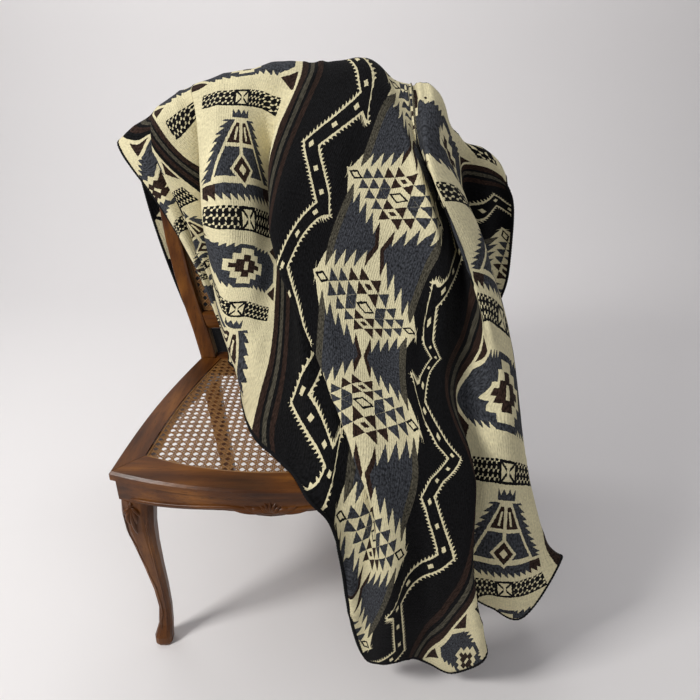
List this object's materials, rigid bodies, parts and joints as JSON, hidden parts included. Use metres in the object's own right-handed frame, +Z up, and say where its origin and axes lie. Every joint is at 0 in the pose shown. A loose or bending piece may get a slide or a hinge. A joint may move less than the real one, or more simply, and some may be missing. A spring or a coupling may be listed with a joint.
{
  "type": "alpaca blanket draped over a side chair",
  "caption": "Woven alpaca blanket with bands, diamonds and a bound edge, draped over the back and seat of a carved side chair with cane panels.",
  "frame": {"origin": "centre of the whole object's outline on the floor it stands on, under the chair's feet", "axes": "+Z up, +X towards the chair's left-hand side as one sits in it, to the right as seen from the front, +Y towards the back, so the chair faces -Y"},
  "size_m": [0.8942, 0.8014, 1.0661],
  "materials": {
    "wool": "woven wool, soft",
    "chair_wood": "satin polish",
    "cane": "satin"
  },
  "bodies": {
    "root": {"blanket": "wool", "cane_back": "cane", "cane_seat": "cane", "leg_front_left": "chair_wood", "leg_front_right": "chair_wood", "post_left": "chair_wood", "post_right": "chair_wood", "rail_crest": "chair_wood", "rail_front": "chair_wood", "rail_left": "chair_wood", "rail_lower": "chair_wood", "rail_rear": "chair_wood", "rail_right": "chair_wood"}
  },
  "joints": []
}
